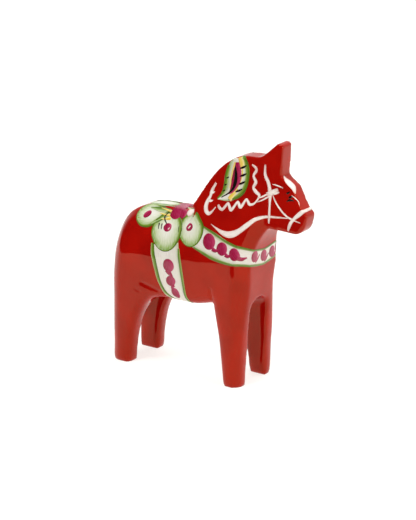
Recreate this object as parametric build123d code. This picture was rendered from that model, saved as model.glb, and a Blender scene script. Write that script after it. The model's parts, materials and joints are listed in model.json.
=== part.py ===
from build123d import *
from math import cos, hypot, pi, radians, sin
import os

os.makedirs("parts", exist_ok=True)

# ---- driving dimensions, mm -------------------------------------------------
TALL = 130.0            # soles to ear tips, bare wood
LONG = 113.2            # rump to nose tip, bare wood
HALF = 17.5             # half the thickness of the sawn blank
EAR_HALF = 4.75         # half the width of the ear block
LEAN_FROM = 65.0        # height where the flanks start to lean in, at the middle
LEAN_TO = 114.0         # height where they would reach the width of the ears, at the middle
LEAN_RISE = 0.09        # how fast both heights rise towards the nose
CHEEK_HALF = 5.9        # half the width of the head behind the cheek
MUZZLE_HALF = 4.6       # half the width of the head at the nose
CHEEK_SLOPE = 0.83      # how fast the cut behind the cheek narrows the neck
HEAD_TAPER = 0.028      # how fast the head narrows upwards
BACK_TOP = 4.7          # half the width of the flat along the top of the back
BACK_REACH = 24.0       # how far down the flank the rounding of the back goes
RUMP_ROUND = 4.2        # rounding of the upright corners of the rump
CHEST_ROUND = 6.4       # rounding of the upright corners of the chest
LEG_ROUND = 4.0         # rounding of the outer edges of the legs and belly
FORE_GAP = 8.3          # half the gap between the forelegs, at the ground
HIND_GAP = 8.8          # half the gap between the hind legs, at the ground
FORE_ARCH = 48.0        # top of the gap between the forelegs where it starts, ahead of the chest
HIND_ARCH = 49.8        # top of the gap between the hind legs where it starts, behind the rump
FORE_FALL = 7.5         # how far that gap falls to where it ends under the belly
HIND_FALL = 12.0        # the same between the hind legs
ARCH_RISE = 6.2         # height of the round top of each gap
GAP_LEAN = 0.7          # how far each side of a gap leans in, from the ground to the arch
COAT = 0.3              # primer and red coats together
MARK = 0.15             # one brushed layer of decoration paint
RIM = 1.4               # how far a petal's green rim stands out round it
SPECK = 0.02            # volume of paint too small to count as a film

# The side view is drawn 113.2 long and 130 tall, X from the middle between the feet,
# Z from the ground, and stretched to LONG and TALL.
DRAWN_LONG, DRAWN_TALL, DRAWN_REAR = 113.2, 130.0, -42.2
DRAWN_HALF = 17.5       # half thickness that the marks seen from above are drawn for


def flat(x, z):
    """a point of the side view, in the plane through the middle of the horse"""
    return Vector(x * LONG / DRAWN_LONG, 0, z * TALL / DRAWN_TALL)


def unit(x, z):
    n = hypot(x, z)
    return (x / n, z / n)


# ---- the blank --------------------------------------------------------------
# the side outline in runs, going round with the wood on the left hand: the run's points,
# then the directions it starts and ends with, or None for a straight run
OUTLINE = [
    ([(28.3, 0), (38.4, 0)], None, None),                                    # fore sole
    ([(38.4, 0), (40.6, 42.2), (42.5, 63.5), (45.2, 78.7), (49, 85.6)],
     (0.04, 1), (0.55, 0.83)),                                               # foreleg, chest, throat
    ([(49, 85.6), (65, 84.8)], None, None),                                  # jaw
    ([(65, 84.8), (68.7, 87.2), (70.3, 91.4)], (0.9, 0.3), (0.2, 1)),        # chin
    ([(70.3, 91.4), (71, 95.2)], None, None),                                # lips
    ([(71, 95.2), (67.6, 98.6)], None, None),                                # nose
    ([(67.6, 98.6), (62.6, 108.2)], None, None),                             # bridge of the nose
    ([(62.6, 108.2), (55.6, 112.9)], None, None),                            # brow
    ([(55.6, 112.9), (56.6, 129.3)], None, None),                            # front of the ears
    ([(56.6, 129.3), (53.8, 130)], None, None),                              # ear tips
    ([(53.8, 130), (47.5, 124.3)], None, None),                              # back of the ears
    ([(47.5, 124.3), (44.2, 121.8), (40.5, 120.9)], (-0.74, -0.67), (-1, 0)),
    ([(40.5, 120.9), (32.3, 120.1), (24.1, 116), (17, 109), (9, 96), (3.5, 86.5)],
     (-1, 0), (-0.5, -0.87)),                                                # crest of the neck
    ([(3.5, 86.5), (-12, 86.1), (-26.5, 84.5), (-36.9, 78.4), (-41, 68.6), (-42, 54), (-42.2, 40)],
     (-1, -0.02), (0, -1)),                                                  # back and rump
    ([(-42.2, 40), (-42.2, 0)], None, None),                                 # back of the hind legs
    ([(-42.2, 0), (-30.2, 0)], None, None),                                  # hind sole
    ([(-30.2, 0), (-27.8, 18.8), (-24, 29), (-16.8, 37.6), (-4, 40.5), (10, 40.6), (22.5, 43.4)],
     (0.05, 1), (0.96, 0.28)),                                               # thigh and belly
    ([(22.5, 43.4), (24.8, 30.5), (27.3, 10.2), (28.3, 0)], (0.1, -1), (0.09, -1)),
]


def heading(x, z):
    """a direction of the side view, stretched with it"""
    p = flat(x, z)
    return unit(p.X, p.Z)


def run_ends(run):
    points, first, last = run
    if first is None:
        way = heading(points[1][0] - points[0][0], points[1][1] - points[0][1])
        return way, way
    return heading(*first), heading(*last)


def profile(grow):
    """the side outline, moved outwards by grow with its corners kept sharp"""
    corners = []
    for i, run in enumerate(OUTLINE):
        before, after = run_ends(OUTLINE[i - 1])[1], run_ends(run)[0]
        na, nb = (before[1], -before[0]), (after[1], -after[0])
        k = grow / (1 + na[0] * nb[0] + na[1] * nb[1])
        corners.append(flat(*run[0][0]) + Vector(k * (na[0] + nb[0]), 0, k * (na[1] + nb[1])))
    edges = []
    for i, run in enumerate(OUTLINE):
        first, last = corners[i], corners[(i + 1) % len(OUTLINE)]
        if run[1] is None:
            edges.append(Line(first, last))
            continue
        ends = [Vector(x, 0, z) for x, z in run_ends(run)]
        points = [flat(*p) for p in run[0]]
        base = Spline(*points, tangents=ends)
        moved = [first]
        for p in points[1:-1]:
            t = base.tangent_at(base.param_at_point(p))
            moved.append(p + Vector(grow * t.Z, 0, -grow * t.X))
        moved.append(last)
        edges.append(Spline(*moved, tangents=ends))
    return Face(Wire(edges))


# ---- knife work: each cutter is the wood outside one carved surface ---------

def carve(stations, section, deep, wide, grow):
    """a rounding that runs along an edge of the side view.
    stations: (x, z, heading x, heading z, depth share, width share, flank, shift outwards)
    section: (depth, distance in from the flank), as shares of deep and wide"""
    grid = []
    for x, z, hx, hz, depth_share, width_share, flank, shift in stations:
        hx, hz = unit(hx, hz)
        p = flat(x, z)
        row = []
        for d, w in section:
            d, w = d * deep * depth_share, w * wide * width_share
            row.append(Vector(p.X - hz * d, flank - w + shift, p.Z + hx * d))
        grid.append(row)
    rows = []
    for i, row in enumerate(grid):
        out = []
        for j, p in enumerate(row):
            along = grid[min(i + 1, len(grid) - 1)][j] - grid[max(i - 1, 0)][j]
            over = row[min(j + 1, len(row) - 1)] - row[max(j - 1, 0)]
            normal = along.cross(over).normalized()
            out.append(p + normal * (grow if normal.Y > 0 else -grow))
        rows.append(out)
    surface = Face.make_surface_from_array_of_points(rows, tol=0.05, min_deg=3, max_deg=3)
    return Solid.extrude(surface, Vector(0, 30, 0))


def back_carve(grow):
    """the rounded back, fading out at the withers and tightening to the corners of the rump"""
    rump = RUMP_ROUND / (HALF - BACK_TOP)
    path = [(13, 86.7, -1, 0, 1, 1, 13), (7.5, 86.7, -1, 0, 1, 1, 7), (2, 86.5, -1, -0.02, 1, 1, 1),
            (-8, 86.2, -1, -0.04, 1, 1, 0), (-17, 85.6, -1, -0.1, 1, 1, 0),
            (-26.5, 84.5, -1, -0.3, 0.95, 1, 0), (-32.6, 81.9, -1, -0.62, 0.8, 0.95, 0),
            (-37.7, 77, -0.65, -1, 0.62, 0.85, 0), (-40.9, 68.6, -0.25, -1, 0.45, 0.65, 0),
            (-41.8, 58, -0.07, -1, 0.34, 1.25 * rump, 0), (-42.2, 46, -0.02, -1, 0.3, rump, 0),
            (-42.2, 35, 0, -1, 0.29, 0.97 * rump, 0), (-42.2, 24, 0, -1, 0.28, 0.93 * rump, 0),
            (-42.2, 13, 0, -1, 0.27, 0.89 * rump, 0), (-42.2, 3, 0, -1, 0.26, 0.85 * rump, 0),
            (-42.2, -6, 0, -1, 0.26, 0.82 * rump, 0)]
    section = [(-0.167, 1.27), (-0.083, 1.14), (0, 1), (0.104, 0.77), (0.25, 0.515), (0.458, 0.265),
               (0.708, 0.063), (1, -0.1)]
    stations = [(x, z, hx, hz, ds, ws, HALF, shift) for x, z, hx, hz, ds, ws, shift in path]
    return carve(stations, section, BACK_REACH, HALF - BACK_TOP, grow)


def lean():
    """how fast each flank leans in, per mm of height"""
    return (HALF - EAR_HALF) / ((LEAN_TO - LEAN_FROM) * TALL / DRAWN_TALL)


def chest_carve(grow):
    """the upright front corners, from the fore soles to the throat"""
    path = [(38.1, -6, 0.04, 1, 0.6, 0.6), (39.4, 21, 0.05, 1, 0.65, 0.65),
            (40.6, 42.2, 0.06, 1, 0.85, 0.85), (42, 57, 0.09, 1, 1, 1), (43.3, 71, 0.14, 1, 0.8, 0.6),
            (45.2, 78.7, 0.37, 1, 0.8, 0.68), (49.5, 86.5, 0.6, 1, 1, 1)]
    section = [(-0.47, 1.39), (-0.23, 1.2), (0, 1), (0.16, 0.75), (0.375, 0.47), (0.66, 0.22),
               (1.03, 0), (1.4, -0.14)]
    stations = []
    for x, z, hx, hz, ds, ws in path:
        above = max(0, z - LEAN_FROM - LEAN_RISE * x) * TALL / DRAWN_TALL
        stations.append((x, z, hx, hz, ds, ws, HALF - lean() * above, 0))
    return carve(stations, section, CHEST_ROUND, CHEST_ROUND, grow)


def flank_carve(grow):
    """the flat slope of body and neck, up to the straight sides of the ears"""
    k = lean()
    side = HALF + hypot(1, k) * grow
    low, foot = 50 * TALL / DRAWN_TALL, LEAN_FROM * TALL / DRAWN_TALL
    knee = foot + (side - EAR_HALF - grow) / k
    far, top = HALF + 30, TALL + 10
    corners = [(side + k * (foot - low), low), (EAR_HALF + grow, knee), (EAR_HALF + grow, top),
               (far, top), (far, low)]
    drop = LEAN_RISE * LONG
    face = Face(Wire.make_polygon([Vector(-LONG, y, z - drop) for y, z in corners], close=True))
    return Solid.extrude(face, Vector(2.5 * LONG, 0, 2.5 * drop))


def head_carve(grow):
    """the cut behind the cheek and the flat side of the head"""
    level = flat(0, 85).Z
    cheek, nose = flat(49, 0).X, flat(71, 0).X
    a = Vector(cheek - 20, CHEEK_HALF + 20 * CHEEK_SLOPE, level)
    b = Vector(cheek, CHEEK_HALF, level)
    c = Vector(nose, MUZZLE_HALF, level)

    def moved(p, q):
        way = (q - p).normalized()
        return p + Vector(-way.Y, way.X, 0) * grow, way

    p1, d1 = moved(a, b)
    p2, d2 = moved(b, c)
    corner = p1 + d1 * ((p2 - p1).cross(d2).Z / d1.cross(d2).Z)
    end = p2 + d2 * (nose - cheek + 12)
    far = HALF + 40
    corners = [p1, corner, end, Vector(end.X, far, level), Vector(p1.X, far, level)]
    face = Face(Wire.make_polygon(corners, close=True))
    drop, rise = 35, TALL - 35
    face = face.moved(Location((0, HEAD_TAPER * drop, -drop)))
    return Solid.extrude(face, Vector(0, -HEAD_TAPER * rise, rise))


def leg_gap(start, length, fall, top, half, grow):
    """the arched gap between two legs, from outside the horse in under the belly"""
    x, top = flat(start, 0).X, flat(0, top).Z - grow
    low, high = half - grow, half - GAP_LEAN - grow
    below, spring = -8, top - ARCH_RISE
    a, b = Vector(x, -low, below), Vector(x, -high, spring)
    c, d = Vector(x, high, spring), Vector(x, low, below)
    face = Face(Wire([Line(a, b), ThreePointArc(b, Vector(x, 0, top), c), Line(c, d), Line(d, a)]))
    return Solid.extrude(face, Vector(flat(length, 0).X, 0, -fall))


def horse(grow):
    """the whole carved shape, moved outwards by grow, with its soles on the ground"""
    half = HALF + grow
    body = Solid.extrude(profile(grow).moved(Location((0, -half, 0))), Vector(0, 2 * half, 0))
    thigh, shin = flat(-24, 29), flat(26, 20)
    edges = []
    for edge in body.edges():
        y = edge.center().Y
        if abs(abs(y) - half) > 0.001:
            continue
        if min(edge.distance_to(Vector(p.X, y, p.Z)) for p in (thigh, shin)) < 1.5:
            edges.append(edge)
    body = body.fillet(LEG_ROUND + grow, edges)
    for cutter in (flank_carve(grow), head_carve(grow), chest_carve(grow), back_carve(grow)):
        body = body.cut(cutter)
        body = body.cut(cutter.mirror(Plane.XZ))
    body = body.cut(leg_gap(48, -30, FORE_FALL, FORE_ARCH, FORE_GAP, grow))
    body = body.cut(leg_gap(-48, 42, HIND_FALL, HIND_ARCH, HIND_GAP, grow))
    ground = Solid.make_box(3 * LONG, 6 * HALF, 20, Plane((-1.5 * LONG, -3 * HALF, -20)))
    return body.cut(ground)


# ---- the painted marks ------------------------------------------------------
# most marks are drawn once on the side view and laid on both flanks

def closed(points):
    """a rounded shape through its points"""
    return Face(Wire([Spline(*points, periodic=True)]))


def loop(points):
    return closed([flat(*p) for p in points])


def ring(wide, tall, turn, count=8):
    """points of a turned oval about the origin"""
    turn = radians(turn)
    for i in range(count):
        a, b = wide * cos(2 * pi * i / count), tall * sin(2 * pi * i / count)
        yield a * cos(turn) - b * sin(turn), a * sin(turn) + b * cos(turn)


def petal(cx, cz, wide, tall, turn=0.0):
    return loop([(cx + a, cz + b) for a, b in ring(wide, tall, turn, 10)])


def between(one, other):
    """the face between two side-view curves that run the same way"""
    a, b = Spline(*one), Spline(*reversed(other))
    return Face(Wire([a, Line(a @ 1, b @ 0), b, Line(b @ 1, a @ 0)]))


def stroke(points, halves):
    """a brush stroke: a curve, and the stroke's half width at each of its points"""
    curve = Spline(*[flat(*p) for p in points])
    left, right = [], []
    for p, w in zip(points, halves):
        t = curve.tangent_at(curve.param_at_point(flat(*p)))
        left.append(flat(*p) + Vector(-t.Z * w, 0, t.X * w))
        right.append(flat(*p) + Vector(t.Z * w, 0, -t.X * w))
    return between(left, right)


def strip(top, bottom):
    return between([flat(*p) for p in top], [flat(*p) for p in bottom])


def both_sides(face):
    reach = 2 * HALF
    return Solid.extrude(face.moved(Location((0, -reach, 0))), Vector(0, 2 * reach, 0))


def from_front(cy, cz, wide, tall, behind):
    """an oval on the surfaces that face forwards, ahead of the given x"""
    start = flat(behind, cz)
    points = [Vector(start.X, cy + a, start.Z + b) for a, b in ring(wide, tall, 0)]
    return Solid.extrude(closed(points), Vector(LONG, 0, 0))


def from_above(cx, cy, wide, tall, turn=0.0):
    """an oval on the back"""
    start, k = flat(cx, 60), HALF / DRAWN_HALF
    points = [Vector(start.X + a, cy * k + b * k, start.Z) for a, b in ring(wide, tall, turn)]
    return Solid.extrude(closed(points), Vector(0, 0, TALL))


BREAST_TOP = [(13, 83), (22.1, 80), (30.2, 77.4), (38.1, 75.8), (42, 74.6), (47, 72.6)]
BREAST_LOW = [(10.2, 71), (18.6, 69.2), (24, 67.6), (31.7, 66.7), (38.9, 66.5), (42, 65.8),
              (47, 64)]
GIRTH_REAR = [(-16, 67), (-12.9, 56), (-10.8, 49.8), (-8, 45.6), (-5.2, 43)]
GIRTH_FORE = [(1.5, 68), (3.6, 56), (5.1, 47), (6.4, 43)]
PETALS = [(-24, 79.4, 5.6, 4.2, 8), (-8.2, 75.2, 8.2, 7.4, 0), (6.4, 79.6, 6.0, 6.6, -20)]
SIDES = (-1, 1)

# node: its prisms, in the order from the topmost mark down; each mark is laid round those above it
marks = {
    "saddle_flower": [from_above(-5.5, 0, 4.6, 8.6)],
    "saddle_highlights": [from_above(2.2, s * 6.2, 2.0, 2.8, s * 20) for s in SIDES],
    "saddle_yellow_strokes": [from_above(-13.2, s * 6.6, 2.6, 0.9, s * 12) for s in SIDES],
    "saddle_leaves": [from_above(-19.5, s * 4.8, 4.2, 1.1, s * 10) for s in SIDES],
    "petal_dots": [both_sides(petal(*p)) for p in
                   ((-23.2, 80.4, 2.6, 1.7), (-7.9, 76.8, 2.9, 2.4), (6.2, 79.6, 3.2, 2.6))],
    "saddle_petals": [both_sides(petal(*p)) for p in PETALS],
    "petal_rims": [both_sides(petal(x, z, w + RIM, t + RIM, turn)) for x, z, w, t, turn in PETALS],
    "breast_band_dots": [both_sides(petal(*p)) for p in
                         ((19.4, 75.6, 3.4, 3.6), (27.7, 73.3, 3.0, 3.3), (35.6, 71.6, 2.5, 2.9))]
    + [from_front(y, 69.2, 2.6, 2.6, 38) for y in (-8.2, 0, 8.2)],
    "breast_band_edges": [both_sides(stroke(BREAST_TOP, [0.5, 0.8, 0.8, 0.8, 0.7, 0.7])),
                          both_sides(stroke(BREAST_LOW, [0.5, 0.8, 0.8, 0.8, 0.8, 0.7, 0.7]))],
    "breast_band": [both_sides(strip(BREAST_TOP, BREAST_LOW))],
    "girth_dots": [both_sides(petal(*p)) for p in
                   ((-3.9, 58.3, 3.8, 3.9), (-2.4, 50.4, 3.2, 3.3), (0.2, 45.2, 2.2, 1.6))],
    "girth_band_edges": [both_sides(stroke(GIRTH_REAR, [0.6, 0.8, 0.8, 0.7, 0.5])),
                         both_sides(stroke(GIRTH_FORE, [0.6, 0.8, 0.8, 0.5]))],
    "girth_band": [both_sides(strip(GIRTH_REAR, GIRTH_FORE))],
    "mane_flower_ticks": [both_sides(stroke([(x, z), (x + 2.2, z + 0.8), (x + 3.9, z + 0.6)],
                                            [0.25, 0.6, 0.25]))
                          for x, z in ((31.8, 115.6), (33.2, 111.6), (33.4, 107.4), (32.4, 103.6))],
    "mane_flower_crescent": [both_sides(stroke([(22.9, 98.6), (26.6, 101.6), (29.6, 107), (28.8, 111),
                                                (27, 113.6)], [0.3, 0.6, 0.9, 0.7, 0.3]))],
    "mane_flower_heart": [both_sides(loop([(28.4, 101.6), (31.6, 104.2), (32.9, 108.2), (31.4, 112.4),
                                           (28.6, 115), (27.6, 113.8), (29.8, 110.2), (29.9, 106)]))],
    "mane_flower_yellow": [both_sides(stroke([(27.4, 99.2), (31.6, 103.2), (33.9, 108.6), (33, 114.2),
                                              (31, 118.2)], [0.4, 1.0, 1.2, 1.0, 0.4]))],
    "mane_flower": [both_sides(loop([(22, 97.6), (26.6, 97.4), (31.6, 98.9), (36, 103.2), (37.5, 108.6),
                                     (36, 114.2), (32.4, 118.8), (27.6, 116.6), (25.8, 112), (26, 106.6),
                                     (24.6, 101.6)]))],
    "mane_flower_rim": [both_sides(loop([(20.6, 96.2), (26.6, 96.0), (32.2, 97.6), (37.2, 102.4),
                                         (38.9, 108.6), (37.4, 115), (33.2, 120.2), (26.4, 117.8),
                                         (24.4, 112.4), (24.7, 107), (23.4, 102.2)]))],
    "mane_scrolls": [
        both_sides(stroke([(18.6, 103.6), (16.3, 100.4), (16.2, 98), (14.2, 95.2), (13.9, 91), (15.4, 88),
                           (17.7, 87.9), (19.7, 91.5)], [0.3, 0.6, 0.5, 0.7, 0.8, 0.7, 0.5, 0.3])),
        both_sides(stroke([(22.1, 92.4), (23.7, 92), (25.4, 94.3), (27.6, 92.9), (29.4, 94.8), (31.5, 93.8),
                           (33.2, 96.2), (35.4, 95.2), (37.4, 98.2), (39.8, 97.8), (43.1, 98), (45.4, 100.8)],
                          [0.3, 0.5, 0.6, 0.5, 0.6, 0.5, 0.6, 0.5, 0.6, 0.5, 0.5, 0.3])),
        both_sides(stroke([(38.8, 116.7), (41.6, 115.3), (40.6, 112), (43, 109.2), (41.9, 106.4),
                           (45.2, 102.9)], [0.3, 0.5, 0.5, 0.6, 0.5, 0.3]))],
    "bridle_knot": [both_sides(stroke([(48.6, 102.2), (51.8, 105.2), (55.6, 107.6)], [0.7, 1.1, 0.5])),
                    both_sides(stroke([(53.6, 110.2), (55.4, 108.9), (57.6, 108.4)], [0.3, 0.5, 0.3]))],
    "rein": [both_sides(stroke([(52.4, 104), (54.8, 99), (59.8, 94.9), (65.7, 93.2)], [0.5, 0.8, 0.7, 0.3]))],
    "cheek_strap": [both_sides(stroke([(46.9, 118.6), (48.5, 112.9), (49.6, 106.7), (50.2, 99.1),
                                       (50.1, 88.1)], [0.3, 0.6, 0.8, 0.7, 0.4]))],
    "throat_scroll": [both_sides(stroke([(18.5, 84), (25, 81.2), (30.2, 80.2), (36, 82), (40.4, 86.4),
                                         (44.3, 90.1), (50.2, 92), (57, 93.2)],
                                        [0.3, 0.9, 1.3, 1.1, 0.9, 0.7, 0.6, 0.3]))],
    "noseband": [both_sides(stroke([(71.5, 98.9), (68, 96.2), (64.2, 92.6), (61.6, 86.8)],
                                   [0.7, 0.8, 0.8, 0.4]))],
    "eyes": [both_sides(stroke([(60.2, 106), (61.4, 103.6), (63.2, 101.8)], [0.3, 0.7, 0.4]))],
    "forehead_blaze": [from_front(0, 109.6, 1.5, 3.8, 50)],
}

core = horse(0)
coated = horse(COAT)
skin = horse(COAT + MARK).cut(coated)
nodes = {"pine_core": core, "red_coat": coated.cut(core)}
laid = []
for name, prisms in marks.items():
    films = []
    for prism in prisms:
        pieces = skin.intersect(prism).solids()
        for other in laid:
            pieces = [solid for piece in pieces for solid in piece.cut(other).solids()]
        films += [piece for piece in pieces if piece.volume > SPECK]
    laid += prisms
    nodes[name] = Compound(films)

# the row's origin is on the ground, under the middle of the horse's length
to_middle = Location((-(flat(DRAWN_REAR, 0).X + LONG / 2), 0, 0))
for name, shape in nodes.items():
    export_step(shape.moved(to_middle), "parts/" + name + ".step")
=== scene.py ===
import bpy
import bmesh
import json
from math import cos, sin, pi, radians, sqrt
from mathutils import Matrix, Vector, noise
from mathutils.bvhtree import BVHTree

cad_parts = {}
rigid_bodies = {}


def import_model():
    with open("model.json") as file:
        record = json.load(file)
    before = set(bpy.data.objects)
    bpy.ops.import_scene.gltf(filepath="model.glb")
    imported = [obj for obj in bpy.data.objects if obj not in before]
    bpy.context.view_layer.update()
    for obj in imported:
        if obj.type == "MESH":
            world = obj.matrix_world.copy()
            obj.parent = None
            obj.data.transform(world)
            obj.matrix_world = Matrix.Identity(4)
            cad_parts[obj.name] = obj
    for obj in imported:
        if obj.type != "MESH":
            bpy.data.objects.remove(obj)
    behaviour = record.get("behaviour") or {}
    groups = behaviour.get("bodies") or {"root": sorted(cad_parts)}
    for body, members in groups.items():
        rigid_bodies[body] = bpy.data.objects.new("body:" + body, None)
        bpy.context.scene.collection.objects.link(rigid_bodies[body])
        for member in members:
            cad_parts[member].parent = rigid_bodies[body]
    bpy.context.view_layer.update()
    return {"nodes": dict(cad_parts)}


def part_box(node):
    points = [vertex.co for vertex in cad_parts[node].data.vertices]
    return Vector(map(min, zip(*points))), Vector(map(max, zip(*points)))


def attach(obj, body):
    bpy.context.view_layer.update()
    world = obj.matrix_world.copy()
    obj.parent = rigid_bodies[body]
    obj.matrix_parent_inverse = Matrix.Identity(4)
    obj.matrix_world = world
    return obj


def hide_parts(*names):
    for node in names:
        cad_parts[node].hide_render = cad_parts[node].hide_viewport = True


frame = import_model()
mm = 0.001

# the drawing of the horse is measured along the ground from the middle between its feet
rumpDrawnAt = -42.2
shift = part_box("pine_core")[0].x / mm - rumpDrawnAt


def place(x, y, z):
    return Vector(((x + shift) * mm, y * mm, z * mm))


def linear(hexColour):
    # sRGB hex to the linear colour that the shaders want
    out = []
    for i in (1, 3, 5):
        c = int(hexColour[i:i + 2], 16) / 255
        out.append(c / 12.92 if c <= 0.04045 else ((c + 0.055) / 1.055) ** 2.4)
    return (*out, 1.0)


def makeObject(name, mesh):
    piece = bpy.data.objects.new(name, mesh)
    bpy.context.scene.collection.objects.link(piece)
    return piece



def startMaterial(name):
    material = bpy.data.materials.new(name)
    material.use_nodes = True
    tree = material.node_tree
    shader = tree.nodes["Principled BSDF"]
    return material, tree, shader


def addNode(tree, kind, settings=None, links=None):
    # settings: attributes or input values by name; links: input name to the socket that feeds it
    node = tree.nodes.new(kind)
    for key, value in (settings or {}).items():
        if isinstance(key, str) and hasattr(node, key):
            setattr(node, key, value)
        else:
            node.inputs[key].default_value = value
    for key, source in (links or {}).items():
        tree.links.new(source, node.inputs[key])
    return node


def addRamp(tree, source, stops):
    node = addNode(tree, "ShaderNodeValToRGB", links={"Fac": source})
    ramp = node.color_ramp
    while len(ramp.elements) < len(stops):
        ramp.elements.new(0.5)
    for element, (spot, colour) in zip(ramp.elements, stops):
        element.position = spot
        element.color = linear(colour) if isinstance(colour, str) else (colour, colour, colour, 1)
    return node.outputs["Color"]


def addMix(tree, factor, one, other, blend="MIX"):
    node = tree.nodes.new("ShaderNodeMix")
    node.data_type = "RGBA"
    node.blend_type = blend
    ports = {"Factor": node.inputs[0], "A": node.inputs[6], "B": node.inputs[7]}
    for key, value in (("Factor", factor), ("A", one), ("B", other)):
        if isinstance(value, str):
            ports[key].default_value = linear(value)
        elif isinstance(value, (int, float)):
            ports[key].default_value = value
        else:
            tree.links.new(value, ports[key])
    return node.outputs[2]


gloss = {"roughness": 0.05, "ior": 1.5, "level": 0.5, "coat": 0.05, "coatRoughness": 0.02,
         "overRed": "#ffba84", "overPaint": "#fff4ea"}


def varnish(shader, tint):
    # clear oil varnish over everything: a mirror-like gloss, slightly warm where it is looked straight into
    shader.inputs["Roughness"].default_value = gloss["roughness"]
    shader.inputs["IOR"].default_value = gloss["ior"]
    shader.inputs["Specular IOR Level"].default_value = gloss["level"]
    shader.inputs["Specular Tint"].default_value = linear(tint)
    shader.inputs["Coat Weight"].default_value = gloss["coat"]
    shader.inputs["Coat Roughness"].default_value = gloss["coatRoughness"]
    shader.inputs["Coat IOR"].default_value = gloss["ior"]


# patch and peel are the sizes of the clouds of colour and of the orange peel, and peelDepth its height, in mm
lacquer = {"red": "#ab0d05", "deep": "#9c0904", "patch": 14.0, "peel": 1.8, "peelBump": 0.1,
           "peelDepth": 0.06}


def makeLacquer():
    # orange-red enamel, dipped and brushed over carved pine, then varnished: even colour, soft orange peel
    material, tree, shader = startMaterial("red enamel under varnish")
    coord = addNode(tree, "ShaderNodeTexCoord").outputs["Object"]
    cloud = addNode(tree, "ShaderNodeTexNoise", {"Scale": 1 / (lacquer["patch"] * mm), "Detail": 2.0},
                    {"Vector": coord})
    colour = addRamp(tree, cloud.outputs["Fac"], [(0.35, lacquer["deep"]), (0.65, lacquer["red"])])
    peel = addNode(tree, "ShaderNodeTexNoise", {"Scale": 1 / (lacquer["peel"] * mm), "Detail": 1.0},
                   {"Vector": coord})
    bump = addNode(tree, "ShaderNodeBump",
                   {"Strength": lacquer["peelBump"], "Distance": lacquer["peelDepth"] * mm},
                   {"Height": peel.outputs["Fac"]})
    tree.links.new(colour, shader.inputs["Base Color"])
    tree.links.new(bump.outputs["Normal"], shader.inputs["Normal"])
    varnish(shader, gloss["overRed"])
    return material


# a wave texture of scale 1 turns waveRate radians to the unit, so a growth ring is 2 pi times ring wide, in mm
pine = {"pale": "#d9b583", "dark": "#a9743f", "ring": 1.3, "waveRate": 20, "waver": 2.2, "pore": 0.25,
        "poreBump": 0.5, "poreDepth": 0.1, "roughness": 0.75}


def makePine():
    # pine with wide growth rings, rough and matt where the saw has left the end grain bare
    material, tree, shader = startMaterial("bare sawn pine")
    coord = addNode(tree, "ShaderNodeTexCoord").outputs["Object"]
    rings = addNode(tree, "ShaderNodeTexWave",
                    {"wave_type": "RINGS", "rings_direction": "Z", "Distortion": pine["waver"],
                     "Scale": 1 / (pine["ring"] * mm) / pine["waveRate"], "Detail": 2.0},
                    {"Vector": coord})
    colour = addRamp(tree, rings.outputs["Fac"], [(0.15, pine["pale"]), (0.95, pine["dark"])])
    pores = addNode(tree, "ShaderNodeTexNoise", {"Scale": 1 / (pine["pore"] * mm), "Detail": 2.0},
                    {"Vector": coord})
    bump = addNode(tree, "ShaderNodeBump",
                   {"Strength": pine["poreBump"], "Distance": pine["poreDepth"] * mm},
                   {"Height": pores.outputs["Fac"]})
    tree.links.new(colour, shader.inputs["Base Color"])
    tree.links.new(bump.outputs["Normal"], shader.inputs["Normal"])
    shader.inputs["Roughness"].default_value = pine["roughness"]
    return material


# streaks is how many hairs' marks there are to a mm, along the stroke and across it
oil = {"streaks": (0.35, 2.2, 1.0), "hairBump": 0.25, "hairDepth": 0.05, "under": "#b3140a"}


def makePaint(name, attribute, stops, streak, streakAmount, thin=0.0):
    # oil paint laid in one brush stroke, varnished over. stops run over the named attribute,
    # streaks follow the bristles, and thin lets the coat below show where the brush ran dry
    material, tree, shader = startMaterial(name)
    spot = addNode(tree, "ShaderNodeAttribute", {"attribute_name": attribute}).outputs["Fac"]
    colour = addRamp(tree, spot, stops)
    uv = addNode(tree, "ShaderNodeUVMap", {"uv_map": "brush"}).outputs["UV"]
    bristles = addNode(tree, "ShaderNodeMapping", {"Scale": oil["streaks"]}, {"Vector": uv})
    hair = addNode(tree, "ShaderNodeTexNoise", {"Scale": 1.0, "Detail": 3.0},
                   {"Vector": bristles.outputs["Vector"]})
    mask = addRamp(tree, hair.outputs["Fac"], [(0.42, 0.0), (0.68, streakAmount)])
    colour = addMix(tree, mask, colour, streak)
    if thin:
        dry = addNode(tree, "ShaderNodeAttribute", {"attribute_name": "dry"}).outputs["Fac"]
        sparse = addRamp(tree, hair.outputs["Fac"], [(0.3, 1.0), (0.6, 0.25)])
        gate = addNode(tree, "ShaderNodeMath", {"operation": "MULTIPLY"}, {0: dry, 1: sparse})
        scaled = addNode(tree, "ShaderNodeMath", {"operation": "MULTIPLY", 1: thin}, {0: gate.outputs[0]})
        colour = addMix(tree, scaled.outputs[0], colour, oil["under"])
    bump = addNode(tree, "ShaderNodeBump",
                   {"Strength": oil["hairBump"], "Distance": oil["hairDepth"] * mm},
                   {"Height": hair.outputs["Fac"]})
    tree.links.new(colour, shader.inputs["Base Color"])
    tree.links.new(bump.outputs["Normal"], shader.inputs["Normal"])
    varnish(shader, gloss["overPaint"])
    return material


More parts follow.
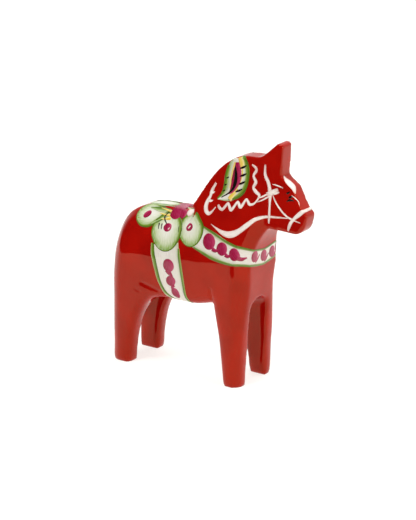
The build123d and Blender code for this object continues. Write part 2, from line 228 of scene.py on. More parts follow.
paints = {
    "whiteScroll": makePaint("white oil paint, thin scrolls", "edge", [(0.0, "#f4ece4"), (1.0, "#e4c8be")],
                             "#fffaf2", 0.6, thin=0.6),
    "whiteGround": makePaint("white oil paint, band ground", "edge", [(0.0, "#ece8de"), (0.72, "#e2e0d0"),
                             (1.0, "#a9bd80")], "#d8c3c4", 0.55),
    "petalWhite": makePaint("white over green, petals", "edge", [(0.0, "#efece2"), (0.42, "#dddfcb"),
                            (0.7, "#c2cea2"), (0.88, "#8fae56"), (1.0, "#5f8a26")], "#f4f1e8", 0.45),
    "maneWhite": makePaint("white over green, mane flower", "edge", [(0.0, "#f0ece4"), (0.5, "#dcdcc8"),
                           (0.8, "#a8b884"), (1.0, "#5f7f34")], "#d9c9c9", 0.5),
    "greenRim": makePaint("leaf green into white", "across", [(0.0, "#39540f"), (0.45, "#56781c"),
                          (0.8, "#869e44"), (1.0, "#b2c086")], "#7f9c3c", 0.45),
    "greenLine": makePaint("leaf green line", "across", [(0.0, "#4b681f"), (0.6, "#64822f"),
                           (1.0, "#9fb072")], "#7d994a", 0.4),
    "darkLeaf": makePaint("dark green into white", "across", [(0.0, "#2f4a18"), (0.4, "#5f8a2c"),
                          (0.75, "#b4c890"), (1.0, "#d8dcbf")], "#8b9c5c", 0.5),
    "crimson": makePaint("crimson into pink", "across", [(0.0, "#8c0830"), (0.6, "#9e1040"),
                         (1.0, "#b83a62")], "#c4587c", 0.3),
    "yellow": makePaint("yellow oil paint", "across", [(0.0, "#e2b428"), (0.5, "#e9c94c"), (1.0, "#ecdc98")],
                        "#f2e8b8", 0.45),
    "black": makePaint("black oil paint", "edge", [(0.0, "#0e0a09"), (1.0, "#1c0d0b")], "#2c1512", 0.2),
}
lacquerRed = makeLacquer()
barePine = makePine()
print("materials made:", len(paints) + 2)


# the wood's surface lies under the core's and the coat's lies over it, by these amounts in mm
carving = {"voxel": 0.8, "weld": 0.002, "smooth": 3, "coat": 0.15, "under": 0.12, "coatThick": 0.18,
           "facet": 11.0, "facetDepth": 0.12, "flankFrom": 14, "earFrom": 117, "legTops": (46, 40, 30, 16),
           "legSmooth": 4, "soleTop": 0.35}
# where the knife slipped in a little: ends on the side view, half width and depth
knifeCuts = [((-21.5, 46.4), (-10.5, 43.8), 1.3, 0.55), ((-25.5, 42.6), (-22.5, 41.4), 1.3, 0.2),
             ((22.0, 51.2), (22.9, 46.2), 1.1, 0.6)]


def knifeCut(v):
    # how deep the knife went in at this point, on either flank
    x, z, deep = v.x / mm - shift, v.z / mm, 0.0
    if abs(v.y) < carving["flankFrom"] * mm:
        return deep
    for (xa, za), (xb, zb), wide, depth in knifeCuts:
        t = ((x - xa) * (xb - xa) + (z - za) * (zb - za)) / ((xb - xa) ** 2 + (zb - za) ** 2)
        t = min(1, max(0, t))
        away = sqrt((x - xa - t * (xb - xa)) ** 2 + (z - za - t * (zb - za)) ** 2)
        if away < wide:
            deep = max(deep, depth * (1 - (away / wide) ** 2) ** 2)
    return deep


def rub(bm, verts, times, level=True):
    # sanding: every point goes halfway to the middle of its neighbours
    for _ in range(times):
        bmesh.ops.smooth_vert(bm, verts=verts, factor=0.5, use_axis_x=True, use_axis_y=True, use_axis_z=level)


def dress(mesh, material):
    for polygon in mesh.polygons:
        polygon.use_smooth = True
    mesh.materials.clear()
    mesh.materials.append(material)


def carvedMesh(name, grow):
    # the CAD core, remeshed so that the knife edges can be rubbed round as sanding and paint leave them
    source = bpy.data.meshes.new(name + "Source")
    bm = bmesh.new()
    bm.from_mesh(frame["nodes"]["pine_core"].data)
    bmesh.ops.remove_doubles(bm, verts=bm.verts, dist=carving["weld"] * mm)
    bm.to_mesh(source)
    bm.free()
    temp = makeObject(name + "Temp", source)
    remesh = temp.modifiers.new("remesh", "REMESH")
    remesh.mode = "VOXEL"
    remesh.voxel_size = carving["voxel"] * mm
    mesh = bpy.data.meshes.new_from_object(temp.evaluated_get(bpy.context.evaluated_depsgraph_get()))
    bpy.data.objects.remove(temp)
    mesh.name = name
    bm = bmesh.new()
    bm.from_mesh(mesh)
    rub(bm, [v for v in bm.verts if v.co.z < carving["earFrom"] * mm], carving["smooth"])
    for top in carving["legTops"]:
        # the legs are rubbed rounder than the rest; the soles stay where they are
        rub(bm, [v for v in bm.verts if v.co.z < top * mm], carving["legSmooth"], level=False)
    bm.normal_update()
    for v in bm.verts:
        knife = noise.noise(v.co / (carving["facet"] * mm)) * carving["facetDepth"] - knifeCut(v.co)
        v.co += v.normal * (grow + knife) * mm
    for v in bm.verts:
        if v.co.z < carving["soleTop"] * mm:
            v.co.z = 0.0
    return mesh, bm


mesh, bm = carvedMesh("pineBody", -carving["under"])
bm.to_mesh(mesh)
bm.free()
pineBody = makeObject("pineBody", mesh)
dress(mesh, barePine)

mesh, bm = carvedMesh("redCoat", carving["coat"])
surface = BVHTree.FromBMesh(bm)  # what every brush stroke is laid on
soles = [f for f in bm.faces if all(v.co.z == 0 for v in f.verts)]
bmesh.ops.delete(bm, geom=soles, context="FACES")
bm.to_mesh(mesh)
bm.free()
redCoat = makeObject("redCoat", mesh)
dress(mesh, lacquerRed)
shell = redCoat.modifiers.new("coat thickness", "SOLIDIFY")
shell.thickness = carving["coatThick"] * mm
shell.offset = -1.0
print("carved body:", len(mesh.polygons), "faces")



# in mm: the grid's steps along and across a stroke, the paint's thickness and the height of its middle,
# the thinnest half width, and waves to a mm in a stroke's edges
brush = {"along": 0.55, "alongLimits": (8, 190), "across": 0.6, "acrossLimits": (4, 26), "film": 0.12,
         "ridge": 0.03, "thinnest": 0.04, "waves": 0.25}


def onFlank(x, z, side):
    # the point of the coat straight in from one side; just off the outline, the nearest point of it
    wellOutside, nearMiddle = 60, 4
    hit = surface.ray_cast(place(x, side * wellOutside, z), Vector((0, -side, 0)))[0]
    if hit is None:
        hit = surface.find_nearest(place(x, side * nearMiddle, z))[0]
    return hit


def along(points, t):
    # a smooth curve through the points, t from 0 to 1
    n = len(points) - 1
    k = min(int(t * n), n - 1)
    f = t * n - k
    p1, p2 = points[k], points[k + 1]
    p0 = points[k - 1] if k > 0 else p1 * 2 - p2
    p3 = points[k + 2] if k + 2 <= n else p2 * 2 - p1
    return 0.5 * ((p1 * 2) + (p2 - p0) * f + (p0 * 2 - p1 * 5 + p2 * 4 - p3) * f * f
                  + (p1 * 3 - p0 - p2 * 3 + p3) * f * f * f)


def layStroke(bm, points, halves, lift, oval=False, flip=1, wobble=0.06, seed=0.0):
    # one brush stroke on the coat. points are on or near it, halves are half widths in mm,
    # oval rounds both ends off; flip turns the brush over, so its other edge is the loaded one
    length = sum((b - a).length for a, b in zip(points, points[1:])) / mm
    (fewestAlong, mostAlong), (fewestAcross, mostAcross) = brush["alongLimits"], brush["acrossLimits"]
    nu = max(fewestAlong, min(mostAlong, int(length / brush["along"])))
    nv = max(fewestAcross, min(mostAcross, int(2 * max(halves) / brush["across"])))
    made = bmesh.ops.create_grid(bm, x_segments=nu, y_segments=nv, size=1.0)
    uv = bm.loops.layers.uv["brush"]
    edge, across, dry = (bm.verts.layers.float[k] for k in ("edge", "across", "dry"))
    stations = {}
    spots = {}
    for v in made["verts"]:
        s, t = round((v.co.x + 1) / 2, 5), v.co.y
        if s not in stations:
            u = (1 - cos(pi * s)) / 2 if oval else s
            c = along(points, u)
            ahead, behind = along(points, min(1, u + 0.01)), along(points, max(0, u - 0.01))
            w = along([Vector((h, 0, 0)) for h in halves], u).x
            w = max(brush["thinnest"], w)
            if oval:
                w *= sin(pi * s)
            w *= 1 + wobble * noise.noise(Vector((u * length * brush["waves"], seed, 3.7)))
            hit, normal = surface.find_nearest(c)[:2]
            way = (ahead - behind).normalized()
            side = normal.cross(way).normalized()
            stations[s] = (hit, side, w, u)
        hit, side, w, u = stations[s]
        spot = hit + side * (w * t * mm)
        near, normal = surface.find_nearest(spot)[:2]
        ridge = (1 - t * t) * brush["ridge"]
        v.co = near + normal * (lift + ridge) * mm
        v[edge] = sqrt(cos(pi * s) ** 2 + (t * sin(pi * s)) ** 2) if oval else abs(t)
        v[across] = (1 + t * flip) / 2
        v[dry] = max(0.0, abs(2 * u - 1) * 1.6 - 0.6)  # the brush runs dry towards both ends
        spots[v] = (u * length + seed, t * w + seed)
    for face in {f for v in made["verts"] for f in v.link_faces}:
        for loop in face.loops:
            loop[uv].uv = spots[loop.vert]
    return stations


def startMarks():
    bm = bmesh.new()
    bm.loops.layers.uv.new("brush")
    for key in ("edge", "across", "dry"):
        bm.verts.layers.float.new(key)
    return bm


def finishMarks(bm, name, node, paint):
    mesh = bpy.data.meshes.new(name)
    bm.to_mesh(mesh)
    bm.free()
    dress(mesh, paints[paint])
    piece = makeObject(name, mesh)
    film = piece.modifiers.new("paint thickness", "SOLIDIFY")
    film.thickness = brush["film"] * mm
    film.offset = -1.0
    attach(piece, "root")
    if node:
        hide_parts(node)
    print("painted", name)


def onBoth(points):
    # a side-view path on the right flank and on the left one; points with a y are taken as they are
    for side in (-1, 1):
        yield side, [onFlank(*p, side) if len(p) == 2 else place(p[0], p[1] * -side, p[2]) for p in points]


def paintBoth(name, node, paint, strokes, lift):
    # strokes: (points, half widths, extra settings); every stroke is brushed on both sides of the horse
    bm = startMarks()
    for i, (points, halves, extra) in enumerate(strokes):
        for side, path in onBoth(points):
            settings = dict(extra)
            settings["flip"] = settings.get("flip", 1) * -side
            layStroke(bm, path, halves, lift, seed=i * 7.3 + side, **settings)
    finishMarks(bm, name, node, paint)


# points are (x, z) on the flank, or (x, y, z) with y negative outwards, in mm of the drawing
girth = {
    "band": [([(-7.2, 70.0), (-5.8, 64.0), (-3.9, 56.0), (-2.3, 50.0), (-0.1, 45.4),
               (2.8, -17.2, 42.3), (5.2, -14.5, 40.6)],
              [8.6, 8.7, 8.2, 7.7, 6.6, 5.4, 4.4], {"wobble": 0.02})],
    "edges": [([(-14.8, 69.0), (-14.0, 64.5), (-11.8, 56.0), (-9.8, 49.8), (-6.6, 45.0),
                (-2.6, -17.2, 42.0), (1.1, -14.5, 40.5)],
               [0.9, 1.15, 1.15, 1.0, 0.8, 0.6, 0.3], {"flip": -1}),
              ([(1.8, 69.0), (2.8, 64.5), (4.3, 56.0), (5.4, 50.0), (6.6, 45.0),
                (8.2, -17.0, 42.0), (9.4, -14.5, 40.6)],
               [0.5, 0.75, 0.8, 0.75, 0.65, 0.55, 0.3], {})],
    "dots": [([(-4.0, 62.7), (-3.8, 59.2), (-3.4, 55.7)], [3.3, 3.5, 3.3], {"oval": True}),
             ([(-5.2, 56.6), (-3.2, 55.2), (-1.0, 53.0)], [1.2, 1.3, 0.45], {}),
             ([(-2.9, 53.8), (-2.4, 51.0), (-1.8, 48.4)], [2.9, 3.0, 2.8], {"oval": True}),
             ([(-0.4, 49.2), (-1.6, 47.7), (-0.6, 45.8)], [0.9, 0.8, 0.6], {}),
             ([(-1.6, 47.4), (0.3, 45.4), (3.0, -17.0, 43.0)], [1.7, 2.2, 1.9], {"oval": True})],
}
paintBoth("girthGround", "girth_band", "whiteGround", girth["band"], 0.05)
paintBoth("girthEdges", "girth_band_edges", "greenRim", girth["edges"], 0.10)
paintBoth("girthDots", "girth_dots", "crimson", girth["dots"], 0.14)

# each line of the band: its points on the right flank, those round to the middle of the chest, half widths
breast = {
    "band": ([(10.2, 77.3), (20.4, 74.6), (27, 72.8), (32, 72.0), (38.3, 71.3)],
             [(42.2, -10.8, 70.3), (43.2, -5, 69.0), (43.2, 0, 68.3)],
             [6.0, 5.5, 5.0, 5.1, 4.7, 4.4, 4.2, 4.1], {"wobble": 0.02}),
    "top": ([(12.5, 83.1), (22.1, 80.1), (30.2, 77.5), (35, 76.4), (38.6, 75.8)],
            [(42.4, -10.8, 74.4), (43.6, -5, 73.1), (43.8, 0, 72.4)],
            [0.4, 0.75, 0.75, 0.7, 0.7, 0.6, 0.55, 0.5], {"flip": -1}),
    "bottom": ([(11.0, 71.3), (18.6, 69.2), (24, 67.8), (31.7, 66.9), (38.6, 66.6)],
               [(42.0, -10.8, 66.0), (42.8, -5, 64.8), (42.8, 0, 64.2)],
               [0.4, 0.75, 0.8, 0.7, 0.6, 0.6, 0.55, 0.5], {}),
}


def layRoundChest(bm, line, lift):
    # one stroke from the right flank round the chest to the left flank
    flank, front, halves, extra = breast[line]
    right = [onFlank(x, z, -1) for x, z in flank]
    left = [onFlank(x, z, 1) for x, z in flank]
    nearSide = [place(*p) for p in front]
    farSide = [place(x, -y, z) for x, y, z in front if y]
    layStroke(bm, right + nearSide + farSide[::-1] + left[::-1], halves + halves[-2::-1], lift, **extra)


bm = startMarks()
layRoundChest(bm, "band", 0.05)
finishMarks(bm, "breastGround", "breast_band", "whiteGround")

bm = startMarks()
layRoundChest(bm, "top", 0.10)
layRoundChest(bm, "bottom", 0.10)
finishMarks(bm, "breastEdges", "breast_band_edges", "greenLine")

breastDots = {
    "flank": [([(18.6, 79.7), (19.9, 75.8), (21.3, 71.9)], [3.6, 3.8, 3.7], {"oval": True}),
              ([(27.1, 76.7), (28.3, 73.6), (29.5, 70.4)], [3.2, 3.3, 3.2], {"oval": True}),
              ([(34.9, 75.2), (36.1, 72.2), (37.7, 69.4)], [3.0, 3.1, 3.0], {"oval": True}),
              ([(22.4, 72.6), (24.7, 72.0), (26.7, 73.4)], [1.2, 0.9, 0.5], {}),
              ([(30.7, 71.2), (32.7, 70.6), (34.3, 72.0)], [1.2, 0.9, 0.5], {}),
              ([(37.3, 70.6), (39.3, 69.8), (41.3, -12.6, 70.6)], [1.3, 1.0, 0.3], {})],
    "chest": [(-8.6, 70.4), (-0.4, 68.9), (7.2, 69.0), (12.8, 70.6)],
}
bm = startMarks()
for i, (points, halves, extra) in enumerate(breastDots["flank"]):
    for side, path in onBoth(points):
        layStroke(bm, path, halves, 0.14, seed=i * 5.1 + side, flip=-side, **extra)
for i, (y, z) in enumerate(breastDots["chest"]):
    top, bottom = place(43.8, y - 1.0, z + 3.1), place(43.0, y + 0.9, z - 3.1)
    layStroke(bm, [top, (top + bottom) / 2, bottom], [2.6, 2.7, 2.6], 0.14, oval=True, seed=40 + i)
    tail = [bottom, place(43.2, y + 2.6, z - 2.2), place(43.4, y + 4.4, z + 0.2)]
    layStroke(bm, tail, [0.9, 0.7, 0.3], 0.12, seed=50 + i)
finishMarks(bm, "breastDots", "breast_band_dots", "crimson")


saddle = {
    # each petal: its line from the flower outwards, its half widths, and those of the green round it
    "petals": [([(-11.2, -7.6, 84.0), (-17.7, -8.4, 82.8), (-23.4, -9.0, 81.2), (-29.4, -8.4, 79.8)],
                [2.2, 5.4, 7.6, 7.0]),
               ([(4.0, -7.4, 86.2), (7.0, -12.4, 80.4), (9.2, -15.4, 71.2)], [6.4, 7.5, 7.2]),
               ([(-8.0, -8.0, 84.5), (-7.7, -13.0, 76.8), (-6.8, -16.0, 66.0)], [6.8, 8.9, 8.6])],
    "rim": [0.35, 0.8, 0.95, 1.0, 0.8, 0.5, 0.35, 0.3],
    "dots": [([(-24.5, -10.4, 79.4), (-23.0, -9.4, 81.4), (-21.4, -8.2, 83.0)], 1.85),
             ([(-8.3, -11.6, 79.5), (-7.7, -12.7, 77.7), (-7.1, -13.6, 75.5)], 2.5),
             ([(5.3, -14.0, 78.8), (6.7, -13.1, 80.5), (8.1, -12.1, 82.1)], 1.9)],
    "lights": [([(6.1, -13.5, 79.8), (7.4, -12.7, 81.2)], [0.4, 0.25], {}),
               ([(-7.0, -13.0, 76.6), (-6.2, -12.6, 77.6)], [0.3, 0.15], {})],
    "stems": [([(-10.4, -7.0, 83.6), (-11.7, -9.2, 82.0), (-11.0, -10.6, 80.8), (-9.0, -12.0, 79.2)],
               [0.3, 0.45, 0.4, 0.25], {}),
              ([(-13.6, -12.1, 78.9), (-13.0, -13.6, 76.0)], [0.4, 0.15], {}),
              ([(-11.8, -12.1, 78.9), (-11.2, -13.6, 76.2)], [0.35, 0.15], {})],
    "spine": [([(-8.7, 0, 86.3), (-17.2, 0, 85.6), (-27.2, 0, 83.7)], [2.4, 4.2, 3.6]),
              ([(-0.7, 0, 86.5), (3.8, 0, 86.6), (8.8, 0, 88.0)], [2.4, 3.2, 2.6])],
}
petalPaint, rimPaint, dotPaint = startMarks(), startMarks(), startMarks()
for i, (points, halves) in enumerate(saddle["petals"]):
    for side, path in onBoth(points):
        # each petal lies a little over the one before it, and its rim goes round its outline
        stations = layStroke(petalPaint, path, halves, 0.07 + 0.03 * i, oval=True, seed=i * 3.1 + side,
                             wobble=0.03)
        rows = [stations[s] for s in sorted(stations)][::2]
        one = [hit + across * w * mm for hit, across, w, _ in rows]
        two = [hit - across * w * mm for hit, across, w, _ in rows]
        layStroke(rimPaint, one + two[::-1] + one[:1], saddle["rim"] + saddle["rim"][:0:-1], 0.13 + 0.03 * i,
                  seed=i + side, flip=-1)
for i, (points, halves) in enumerate(saddle["spine"]):
    layStroke(petalPaint, [place(*p) for p in points], halves, 0.06, oval=True, seed=20 + i)
for i, (points, half) in enumerate(saddle["dots"]):
    for side, path in onBoth(points):
        layStroke(dotPaint, path, [half] * 3, 0.19, oval=True, seed=i * 2.3 + side, flip=-side)
finishMarks(petalPaint, "saddlePetals", "saddle_petals", "petalWhite")
finishMarks(rimPaint, "petalRims", "petal_rims", "greenRim")
finishMarks(dotPaint, "petalDots", "petal_dots", "crimson")
paintBoth("petalDotLights", None, "whiteScroll", saddle["lights"], 0.23)
paintBoth("saddleStems", None, "black", saddle["stems"], 0.24)

crown = {
    "flower": [([(-8.0, -4.6, 85.9), (-5.8, -7.6, 84.5), (-4.2, -10.2, 82.1)], [3.4, 3.8, 3.4],
                {"oval": True}),
               ([(-3.2, -5.2, 85.8), (-1.8, -7.4, 84.7), (-0.8, -9.4, 82.9)], [2.2, 2.6, 2.4],
                {"oval": True}),
               ([(-8.0, 0.5, 86.3), (-5.8, -3.0, 86.1), (-3.8, -6.0, 85.5)], [3.2, 3.6, 3.0],
                {"oval": True})],
    "highlights": [([(1.8, -3.6, 86.4), (3.0, -6.2, 85.6), (4.2, -8.6, 84.2)], [2.1, 2.6, 2.2],
                    {"oval": True})],
    "yellow": [([(-16.4, -5.9, 84.8), (-12.2, -6.5, 84.7), (-8.4, -7.2, 84.5)], [0.15, 0.5, 0.8], {}),
               ([(-16.0, -8.4, 82.9), (-12.0, -8.8, 82.9), (-8.2, -9.0, 83.1)], [0.15, 0.6, 0.9], {}),
               ([(-13.6, -10.6, 80.7), (-10.6, -10.4, 81.3), (-7.8, -10.2, 82.1)], [0.15, 0.7, 1.0], {}),
               ([(-0.8, -3.6, 86.6), (1.0, -4.6, 86.5), (3.0, -5.4, 86.5)], [0.3, 0.6, 0.3], {})],
    "leaves": [([(-10.2, -6.2, 84.9), (-15.6, -6.6, 84.3), (-22.8, -6.0, 83.7)], [0.5, 1.6, 0.4], {}),
               ([(-9.8, -9.4, 82.5), (-14.2, -11.2, 80.2), (-18.2, -12.6, 77.5)], [0.35, 0.8, 0.4],
                {"flip": -1}),
               ([(-9.2, -3.6, 86.3), (-16.6, -3.8, 85.5), (-24.2, -3.6, 84.3)], [0.35, 0.9, 0.25], {}),
               ([(5.4, -4.4, 86.8), (0.2, -3.0, 86.9), (-4.2, -1.6, 86.8)], [0.3, 0.8, 0.3], {})],
}
paintBoth("saddleLeaves", "saddle_leaves", "darkLeaf", crown["leaves"], 0.20)
paintBoth("saddleYellow", "saddle_yellow_strokes", "yellow", crown["yellow"], 0.22)
paintBoth("saddleFlower", "saddle_flower", "crimson", crown["flower"], 0.25)
paintBoth("saddleHighlights", "saddle_highlights", "whiteScroll", crown["highlights"], 0.28)


mane = {
    "ground": [([(21.3, 97.4), (27.1, 99.8), (30.5, 103.8), (31.4, 108.8), (31.2, 114.2), (30.6, 119.0)],
                [0.4, 2.9, 5.4, 6.8, 6.4, 4.6], {"wobble": 0.02})],
    "rim": [([(21.1, 97.4), (23.4, 99.9), (24.6, 102.6), (24.9, 105.6), (24.8, 109.8), (25.4, 114.6)],
             [0.35, 0.8, 1.05, 1.15, 1.1, 0.8], {"flip": -1}),
            ([(27.9, 98.2), (32.3, 99.9), (35.7, 103.2), (37.2, 108.0), (36.9, 113.4), (34.7, 118.6),
              (33.1, 120.4)],
             [0.4, 0.95, 1.2, 1.2, 1.25, 1.2, 0.9], {})],
    "yellow": [([(31.7, 119.6), (32.7, 117.2), (33.7, 114.4)], [1.3, 1.6, 0.9], {}),
               ([(33.3, 115.2), (34.1, 111.4), (33.5, 107.2), (31.5, 103.4)], [0.6, 0.4, 0.35, 0.3], {}),
               ([(32.7, 104.0), (30.5, 101.2), (28.5, 98.2)], [0.5, 1.1, 1.3], {}),
               ([(29.1, 116.6), (28.1, 113.0), (27.8, 108.6), (27.8, 103.6)], [0.8, 0.45, 0.4, 0.3], {})],
    "heart": [([(30.1, 116.9), (30.8, 112.6), (30.8, 107.8), (29.5, 103.4), (27.7, 100.8)],
               [1.0, 2.4, 2.7, 1.6, 0.3], {})],
    "crescent": [([(29.2, 114.6), (30.3, 110.8), (30.6, 107.2), (29.8, 103.8), (27.5, 101.2), (23.5, 98.4)],
                  [0.4, 0.95, 1.0, 0.75, 0.4, 0.25], {})],
    "ticks": [([(x - 2.0, z - 0.9), (x, z), (x + 1.8, z + 1.1)], [0.35, 0.6, 0.3], {})
              for x, z in ((34.1, 115.0), (34.7, 111.2), (34.7, 107.3), (33.5, 103.4))]
    + [([(x - 0.6, z - 0.5), (x + 0.6, z + 0.4)], [0.4, 0.3], {})
       for x, z in ((25.6, 108.6), (25.0, 105.0), (24.6, 102.0))],
}
# white scrolls behind, below and before the flower
scrolls = [
    ([(19.1, 104.8), (17.8, 102.4), (17.0, 100.1), (16.6, 97.7), (15.3, 95.0), (14.9, 92.4), (15.6, 90.2),
      (17.2, 89.3), (19.0, 90.6), (20.8, 93.2)],
     [0.61, 0.79, 0.92, 0.73, 0.98, 1.22, 1.16, 0.92, 0.55, 0.18], {}),
    ([(16.8, 99.8), (17.8, 99.8), (19.0, 100.5)], [0.73, 0.61, 0.18], {}),
    ([(15.8, 96.0), (17.2, 95.7), (18.6, 96.1)], [0.85, 0.73, 0.18], {}),
    ([(22.2, 94.6), (23.2, 93.3), (25.2, 92.8), (27.8, 96.1), (28.6, 95.6), (30.0, 93.5), (31.0, 93.9),
      (33.4, 97.6), (34.4, 97.2), (35.9, 95.6), (38.4, 99.8), (39.6, 99.2), (41.0, 97.9), (43.4, 98.6),
      (45.2, 101.2), (45.6, 103.2), (43.6, 104.6), (41.8, 106.4), (42.7, 109.2), (40.8, 111.9),
      (42.1, 114.7), (41.2, 116.1), (39.0, 117.2)],
     [0.61, 0.79, 0.73, 0.61, 0.79, 0.92, 0.73, 0.61, 0.85, 0.85, 0.55, 0.73, 0.79, 0.49, 0.43, 0.73, 0.92,
      0.73, 0.92, 0.67, 0.79, 0.67, 0.43], {}),
]
paintBoth("maneGround", "mane_flower", "maneWhite", mane["ground"], 0.05)
paintBoth("maneRim", "mane_flower_rim", "greenRim", mane["rim"], 0.10)
paintBoth("maneYellow", "mane_flower_yellow", "yellow", mane["yellow"], 0.12)
paintBoth("maneHeart", "mane_flower_heart", "crimson", mane["heart"], 0.16)
paintBoth("maneCrescent", "mane_flower_crescent", "black", mane["crescent"], 0.20)
paintBoth("maneTicks", "mane_flower_ticks", "black", mane["ticks"], 0.16)
paintBoth("maneScrolls", "mane_scrolls", "whiteScroll", scrolls, 0.07)


bridle = {
    "throat": [([(19.4, 84.5), (23.1, 82.9), (27.1, 81.5), (30.9, 81.2), (34.5, 82.3), (37.9, 84.7),
                 (41.2, 87.7), (43.9, 90.2), (47.0, 91.5), (50.2, 91.9), (55.5, 92.4), (60.8, 92.9)],
                [0.12, 0.55, 1.15, 1.7, 1.6, 1.4, 1.25, 1.05, 0.8, 0.6, 0.45, 0.3], {})],
    "strap": [([(46.9, 118.4), (47.5, 113.8), (49.3, 109.3), (50.2, 104.4), (50.2, 99.6), (50.0, 91.7),
                (49.9, 88.4)],
               [0.5, 0.75, 0.85, 1.0, 0.65, 0.6, 0.35], {})],
    "knot": [([(48.6, 103.5), (50.4, 104.3), (52.4, 105.3), (54.6, 106.9)], [0.9, 1.35, 1.3, 0.7], {}),
             ([(51.6, 104.2), (53.4, 104.7), (55.4, 105.6)], [0.7, 0.7, 0.4], {}),
             ([(45.0, 101.7), (47.0, 102.4), (49.4, 104.0)], [0.3, 0.4, 0.5], {}),
             ([(44.6, 99.5), (47.0, 100.6), (49.6, 102.4)], [0.2, 0.35, 0.5], {}),
             ([(51.4, 109.1), (54.4, 108.8), (57.6, 108.0)], [0.15, 0.4, 0.2], {})],
    "rein": [([(51.9, 103.4), (52.8, 101.4), (54.6, 98.7), (57.7, 95.5), (60.8, 93.4), (64.6, 92.2),
               (68.0, 91.5)],
              [0.3, 0.4, 0.45, 0.5, 0.5, 0.4, 0.2], {})],
    "noseband": [([(61.0, 86.2), (61.6, 88.6), (62.8, 91.2), (64.8, 93.6), (66.8, 95.4), (68.6, -4.4, 97.2),
                   (69.2, -2.2, 97.6), (69.3, 0, 97.7)], [0.4, 0.85, 0.85, 0.8, 1.1, 1.1, 0.8, 0.8], {})],
    "blaze": [([(56.0, -2.0, 113.4), (59.2, -2.3, 111.2), (62.2, -2.8, 109.0), (64.0, -3.4, 105.8)],
               [0.35, 2.0, 2.1, 0.25], {})],
    "eye": [([(59.6, 105.4), (60.6, 106.0), (61.6, 106.8)], [0.35, 0.55, 0.2], {}),
            ([(60.9, 103.4), (62.0, 104.0), (63.0, 104.8)], [0.35, 0.6, 0.2], {}),
            ([(59.8, 101.4), (61.6, 102.4), (64.0, 102.3)], [0.2, 0.5, 0.2], {})],
    # a painted highlight along the brow's rounded edge, laid as a thin white stroke over the eye
    "browHighlight": [([(62.6, 105.0), (64.4, 103.8), (66.0, 101.8), (66.8, 100.0)], [0.12, 0.26, 0.2, 0.08], {})],
}
paintBoth("throatScroll", "throat_scroll", "whiteScroll", bridle["throat"], 0.07)
paintBoth("cheekStrap", "cheek_strap", "whiteScroll", bridle["strap"], 0.09)
paintBoth("bridleKnot", "bridle_knot", "whiteScroll", bridle["knot"], 0.13)
paintBoth("bridleRein", "rein", "whiteScroll", bridle["rein"], 0.11)
paintBoth("bridleNoseband", "noseband", "whiteScroll", bridle["noseband"], 0.13)
paintBoth("eyeStrokes", "eyes", "black", bridle["eye"], 0.09)
bm = startMarks()
for points, halves, extra in bridle["blaze"]:
    layStroke(bm, [place(*p) for p in points], halves, 0.09, **extra)
# the brow's painted highlight, brushed on both sides in the blaze's white paint
for points, halves, extra in bridle["browHighlight"]:
    for side, path in onBoth(points):
        layStroke(bm, path, halves, 0.14, flip=-side, **extra)
finishMarks(bm, "blaze", "forehead_blaze", "whiteScroll")

for piece, node, slot in ((pineBody, "pine_core", "bare_pine"), (redCoat, "red_coat", "red_lacquer")):
    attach(piece, "root")
    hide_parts(node)


studio = {
    # camera: angles in degrees, distance and the height it takes in in metres, and what it is aimed at,
    # in mm to its right of and above the middle between the feet
    "azimuth": 34.9, "elevation": 18.3, "distance": 1.4, "fieldTall": 0.2727, "right": 7.0, "up": 55.1,
    # floor: half its size in metres, and where the white sheet ends in front of the horse, in mm
    "floorHalf": 6.0, "floorWhite": "#a9a7a4", "floorGlow": 0.78, "sheetEnd": 200.0, "sheetTurn": 0.135,
    "backdrop": 0.9, "lampAim": (0, 0, 0.06),
    # lamps: where they hang and how wide they are, in metres, and watts
    "lamps": {"key": ((-0.3, -0.9, 1.7), 0.7, 22), "side": ((1.5, -0.2, 0.9), 0.5, 8),
              "top": ((0.2, 0.5, 2.0), 1.2, 18)},
}

bm = bmesh.new()
bmesh.ops.create_grid(bm, x_segments=1, y_segments=1, size=studio["floorHalf"])
mesh = bpy.data.meshes.new("floor")
bm.to_mesh(mesh)
bm.free()
floor = makeObject("floor", mesh)
material, tree, shader = startMaterial("white studio floor")
shader.inputs["Base Color"].default_value = linear(studio["floorWhite"])
shader.inputs["Roughness"].default_value = 0.8
shader.inputs["Specular IOR Level"].default_value = 0.0
shader.inputs["Emission Color"].default_value = linear("#fffcf8")
shader.inputs["Emission Strength"].default_value = studio["floorGlow"]
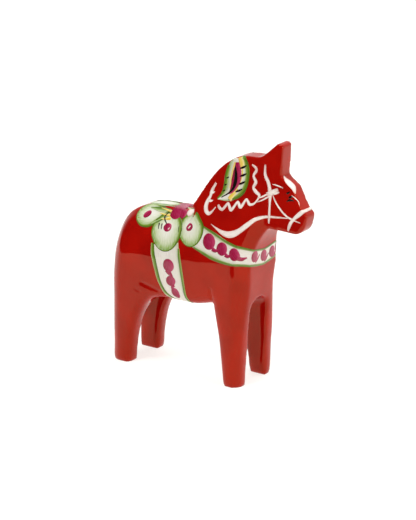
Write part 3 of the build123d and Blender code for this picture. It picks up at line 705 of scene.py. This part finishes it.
# the varnish mirrors the dark room beyond the white sheet's end, and the eye sees white all over
coord = addNode(tree, "ShaderNodeTexCoord").outputs["Object"]
split = addNode(tree, "ShaderNodeSeparateXYZ", links={"Vector": coord})
askew = addNode(tree, "ShaderNodeMath", {"operation": "MULTIPLY", 1: studio["sheetTurn"]},
                {0: split.outputs["X"]})
turned = addNode(tree, "ShaderNodeMath", {"operation": "ADD"}, {0: split.outputs["Y"], 1: askew.outputs[0]})
beyond = addNode(tree, "ShaderNodeMath", {"operation": "LESS_THAN", 1: -studio["sheetEnd"] * mm},
                 {0: turned.outputs[0]})
mirror = addNode(tree, "ShaderNodeLightPath").outputs["Is Glossy Ray"]
both = addNode(tree, "ShaderNodeMath", {"operation": "MULTIPLY"}, {0: beyond.outputs[0], 1: mirror})
room = addNode(tree, "ShaderNodeBsdfDiffuse", {"Color": (0.02, 0.02, 0.02, 1)})
mixed = addNode(tree, "ShaderNodeMixShader", links={0: both.outputs[0], 1: shader.outputs[0],
                                                   2: room.outputs[0]})
tree.links.new(mixed.outputs[0], tree.nodes["Material Output"].inputs["Surface"])
mesh.materials.append(material)

world = bpy.data.worlds.new("studio")
bpy.context.scene.world = world
world.use_nodes = True
tree = world.node_tree
background = tree.nodes["Background"]
direction = addNode(tree, "ShaderNodeTexCoord").outputs["Generated"]
split = addNode(tree, "ShaderNodeSeparateXYZ", links={"Vector": direction})
# bright backdrop behind the horse, dark room behind the camera
colour = addRamp(tree, split.outputs["Y"], [(0.0, 0.05), (0.45, 1.0)])
tree.links.new(colour, background.inputs["Color"])
background.inputs["Strength"].default_value = studio["backdrop"]


for name, (spot, width, watts) in studio["lamps"].items():
    light = bpy.data.lights.new(name, "AREA")
    light.shape = "DISK"
    light.size = width
    light.energy = watts
    lamp = makeObject(name, light)
    lamp.location = spot
    lamp.rotation_euler = (Vector(studio["lampAim"]) - Vector(spot)).to_track_quat("-Z", "Y").to_euler()

az, el = radians(studio["azimuth"]), radians(studio["elevation"])
right = Vector((cos(az), sin(az), 0))
up = Vector((-sin(az) * sin(el), cos(az) * sin(el), cos(el)))
view = up.cross(right).normalized()
aim = place(0, 0, 0) + right * studio["right"] * mm + up * studio["up"] * mm
lens = bpy.data.cameras.new("camera")
lens.lens = lens.sensor_width * studio["distance"] / studio["fieldTall"]
lens.clip_start = 0.05
lens.clip_end = 30.0
camera = makeObject("camera", lens)
camera.location = aim - view * studio["distance"]
camera.rotation_euler = view.to_track_quat("-Z", "Y").to_euler()
bpy.context.scene.camera = camera
bpy.context.scene.view_settings.view_transform = "Standard"
print("studio set")
